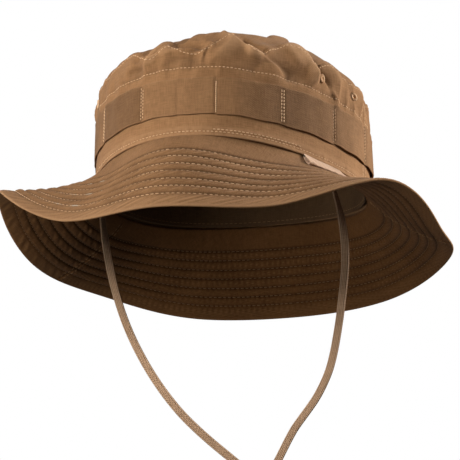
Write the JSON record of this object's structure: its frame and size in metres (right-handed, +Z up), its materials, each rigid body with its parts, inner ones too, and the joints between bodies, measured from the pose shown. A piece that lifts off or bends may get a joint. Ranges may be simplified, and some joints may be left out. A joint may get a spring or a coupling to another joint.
{
  "type": "boonie hat",
  "caption": "Soft wide-brimmed boonie hat with a looped webbing band, stitched wavy brim, vent eyelets and a hanging chin cord with a spring cord lock.",
  "frame": {"origin": "middle of the head opening, in the plane of the crown-to-brim seam at the front and back", "axes": "-Y towards the front of the hat, +X towards the wearer's left, +Z up through the crown"},
  "size_m": [0.277, 0.2594, 0.3913],
  "materials": {
    "crown_cloth": "coyote brown ripstop cotton blend, matt",
    "band_cloth": "folded ripstop strip, matt",
    "brim_cloth": "ripstop cotton blend, quilted with rows of stitching",
    "under_cloth": "ripstop cotton blend, matt",
    "lining_tape": "soft woven cotton",
    "interlining": "stiff non-woven",
    "thread": "polyester sewing thread, slight sheen",
    "label": "blank satin-woven tab",
    "braid": "flat ribbed braid",
    "lock_plastic": "moulded acetal, fine spark texture",
    "spring_steel": "drawn wire"
  },
  "bodies": {
    "hat": {"crown_top": "crown_cloth", "crown_side_front": "crown_cloth", "crown_side_back": "crown_cloth", "top_seam_tape": "lining_tape", "vent_eyelets": "thread", "foliage_band": "band_cloth", "band_tacks": "thread", "side_label": "label", "sweatband": "lining_tape", "brim_top_front": "brim_cloth", "brim_top_back": "brim_cloth", "brim_interlining": "interlining", "brim_under_front": "under_cloth", "brim_under_back": "under_cloth", "cord_end_left": "braid", "cord_end_right": "braid"},
    "chin_strap": {"chin_cord": "braid"},
    "cord_lock": {"lock_barrel": "lock_plastic", "lock_spring": "spring_steel"},
    "plunger": {"lock_plunger": "lock_plastic"}
  },
  "joints": [
    {"name": "strap_swing", "type": "hinge", "parent": "hat", "child": "chin_strap", "pos_m": [0, -0.034, -0.01133], "axis": [1, 0, 0], "range_deg": [-55, 55]},
    {"name": "lock_slide", "type": "slide", "parent": "chin_strap", "child": "cord_lock", "axis": [0, 0, 1], "range_m": [-0.04, 0.004]},
    {"name": "plunger_press", "type": "slide", "parent": "cord_lock", "child": "plunger", "axis": [0, 1, 0], "range_m": [0, 0.0045], "stiffness_N_per_m": 400, "springref_m": -0.005}
  ]
}
